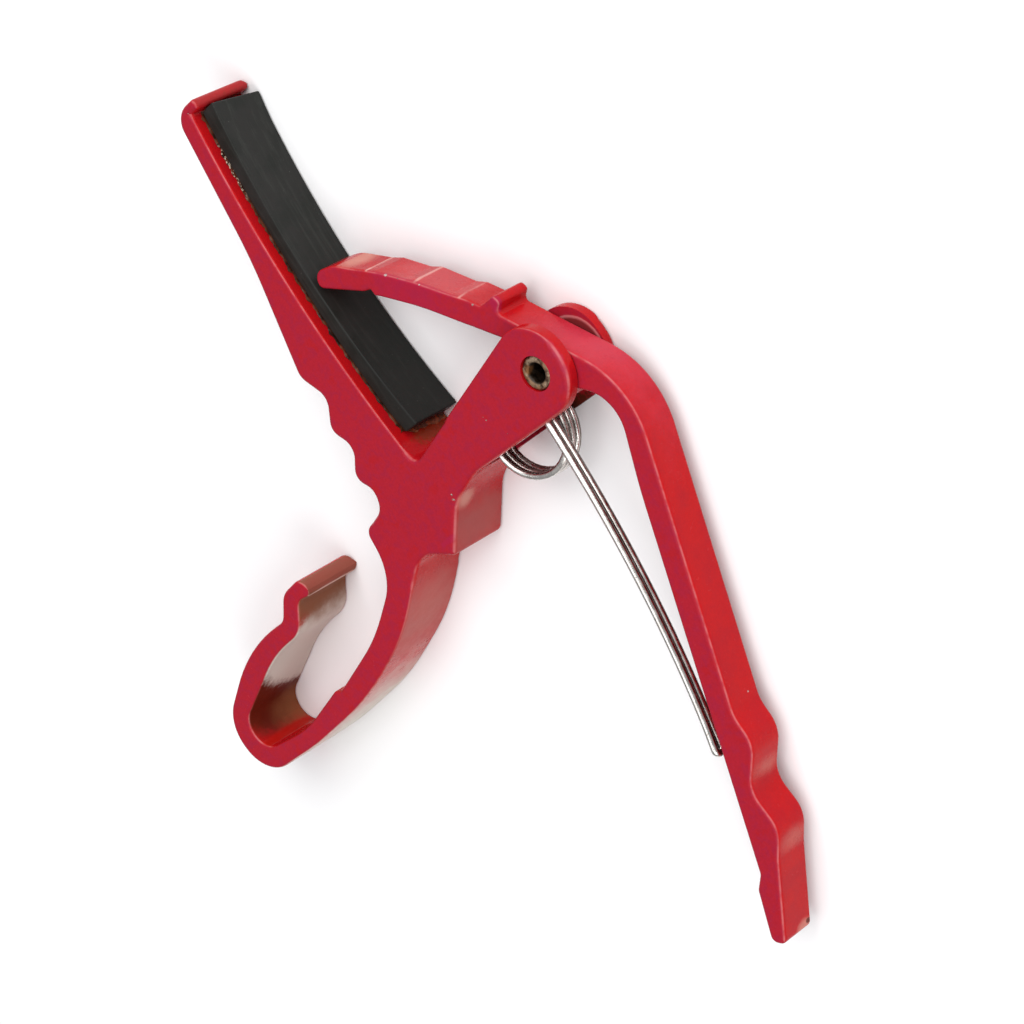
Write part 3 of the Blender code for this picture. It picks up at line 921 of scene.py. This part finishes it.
def make_pad():
    """The rubber pad: its far end is cut askew, and its near end has come off the tray."""
    low, high = (corner.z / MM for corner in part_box("string_pad"))
    outline = eased(border("string_pad"), PAD_RADIUS)
    pad = filleted("rubber_pad", outline, low, high, PAD_RADIUS)
    for vertex in pad.data.vertices:
        x, y, z = (vertex.co - PIVOT) / MM
        behind = (high - z) / (high - low)
        x += PAD_SKEW * behind * ramp(x, PAD_SKEW_FROM, -PAD_SKEW_RUN)
        lift = ramp(x, PAD_LIFT_FROM, PAD_LIFT_RUN)
        y += PAD_LIFT * lift * lift * ramp(y, PAD_BACK_FROM, -PAD_BACK_RUN)
        vertex.co = place(x, y, z)
    smooth(pad, PAD_SMOOTH_DEGREES)
    finish(pad, rubber(), ["string_pad"], "body")


def glue_place(share, part, west, east, low, high):
    """The place of a point of the glue film, by its shares of the width and the length."""
    end = east - GLUE_END - GLUE_END_RAGS * noise.noise(Vector((share * 6, 3, 1)))
    x = west + GLUE_INSET + (end - GLUE_END_SLANT * share ** 3 - west) * part
    front = high - GLUE_FRONT + GLUE_FRONT_WAVES * noise.noise(Vector((x * 0.9, 0, 7)))
    front += GLUE_FRONT_RAGS * noise.noise(Vector((x * 2.7, 5, 7)))
    return x, low + GLUE_INSET + (min(front, high - 0.02) - low) * share


def glue_top(x, z, rim):
    """The lumpy height of the film, thinner at its rim."""
    lump = 0.5 + noise.noise(Vector((x * 0.8, z * 0.8, 0)))
    return tray_y(x) + GLUE_LIFT + GLUE_LEAST + GLUE_LUMPS * rim * min(max(lump, 0.25), 1)


def make_glue():
    """A ragged film under the pad, squeezed out past its front edge and its near end."""
    (west, _, low), (east, _, high) = ((corner - PIVOT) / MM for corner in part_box("pad_adhesive"))
    shape = bmesh.new()
    bottom, top = [], []
    for i in range(GLUE_STEPS + 1):
        part = i / GLUE_STEPS
        bottom.append([])
        top.append([])
        for k in range(GLUE_ROWS + 1):
            share = k / GLUE_ROWS
            x, z = glue_place(share, part, west, east, low, high)
            rim = min(1, min(share, 1 - share, part, 1 - part) / GLUE_RIM_SHARE)
            bottom[-1].append(shape.verts.new(place(x, tray_y(x) + GLUE_LIFT, z)))
            top[-1].append(shape.verts.new(place(x, glue_top(x, z, rim), z)))
    for grid in (top, bottom):
        for first, second in zip(grid, grid[1:]):
            for k in range(GLUE_ROWS):
                shape.faces.new((first[k], first[k + 1], second[k + 1], second[k]))
    for k in range(GLUE_ROWS):
        for i in (0, GLUE_STEPS):
            shape.faces.new((bottom[i][k], bottom[i][k + 1], top[i][k + 1], top[i][k]))
    for i in range(GLUE_STEPS):
        for k in (0, GLUE_ROWS):
            shape.faces.new((bottom[i][k], bottom[i + 1][k], top[i + 1][k], top[i][k]))
    film = show_closed("glue_film", shape)
    smooth(film)
    finish(film, glue(), ["pad_adhesive"], "body")


def pin_profile(low, high):
    """Radii and heights round the pin's wall: a rolled mouth at each end."""
    middle, half = (PIN_RADIUS + PIN_BORE) / 2, (PIN_RADIUS - PIN_BORE) / 2
    upper = []
    for k in range(PIN_LIP_STEPS + 1):
        angle = math.radians(180 * k / PIN_LIP_STEPS)
        height = high - PIN_LIP + PIN_LIP * math.sin(angle)
        upper.append((middle - half * math.cos(angle), height))
    return upper + [(r, low + high - z) for r, z in reversed(upper)]


def make_pin():
    """A hollow pin turned about the pivot, with rolled and knocked mouths."""
    low, high = (corner.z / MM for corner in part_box("pivot_pin"))
    shape = bmesh.new()
    rings = []
    for r, z in pin_profile(low, high):
        ring = []
        for k in range(PIN_SIDES):
            angle = 2 * math.pi * k / PIN_SIDES
            out = Vector((math.cos(angle), math.sin(angle), 0))
            dent = 0
            if r < PIN_KNOCKED_WITHIN:
                dent = PIN_KNOCKS * noise.noise(out * 2.2 + Vector((0, 0, z)))
            away = abs(z - (low + high) / 2) / ((high - low) / 2)
            x, y, _ = out * (r + dent)
            ring.append(shape.verts.new(place(x, y, z + min(dent, 0) * away)))
        rings.append(ring)
    for first, second in zip(rings, rings[1:] + rings[:1]):
        for k in range(PIN_SIDES):
            shape.faces.new((first[k - 1], first[k], second[k], second[k - 1]))
    pin = show_closed("hollow_pin", shape)
    smooth(pin)
    finish(pin, pin_steel(), ["pivot_pin"], "body")


# ---------------------------------------------------------------- stage


def make_floor():
    shape = bmesh.new()
    bmesh.ops.create_grid(shape, x_segments=1, y_segments=1, size=FLOOR_SIZE)
    floor = show("floor", shape)
    floor.data.materials.append(paper())


def make_lights():
    for name, position, size, power, colour in LIGHTS:
        lamp = bpy.data.lights.new(name, "AREA")
        lamp.shape = "RECTANGLE"
        lamp.size = lamp.size_y = size
        lamp.energy = power
        lamp.color = colour
        holder = bpy.data.objects.new(name, lamp)
        bpy.context.scene.collection.objects.link(holder)
        holder.location = position
        holder.rotation_euler = (-Vector(position)).to_track_quat("-Z", "Y").to_euler()
    world = bpy.data.worlds.new("studio")
    bpy.context.scene.world = world
    world.use_nodes = True
    sky = world.node_tree.nodes["Background"].inputs
    sky["Color"].default_value = (*COOL_WHITE, 1)
    sky["Strength"].default_value = WORLD_STRENGTH


def make_camera():
    lens = bpy.data.cameras.new("camera")
    lens.lens = CAMERA_LENS
    lens.clip_start = CAMERA_NEAREST
    camera = bpy.data.objects.new("camera", lens)
    bpy.context.scene.collection.objects.link(camera)
    ahead = Vector(CAMERA_AHEAD).normalized()
    right = ahead.cross(Vector(CAMERA_UP)).normalized()
    turn = Matrix((right, right.cross(ahead), -ahead)).transposed().to_4x4()
    camera.matrix_world = Matrix.Translation(place(*CAMERA_PLACE)) @ turn
    bpy.context.scene.camera = camera
    bpy.context.scene.view_settings.view_transform = "Standard"


make_camera()
make_lights()
make_floor()
make_body()
make_lever()
make_spring()
make_pin()
make_pad()
make_glue()
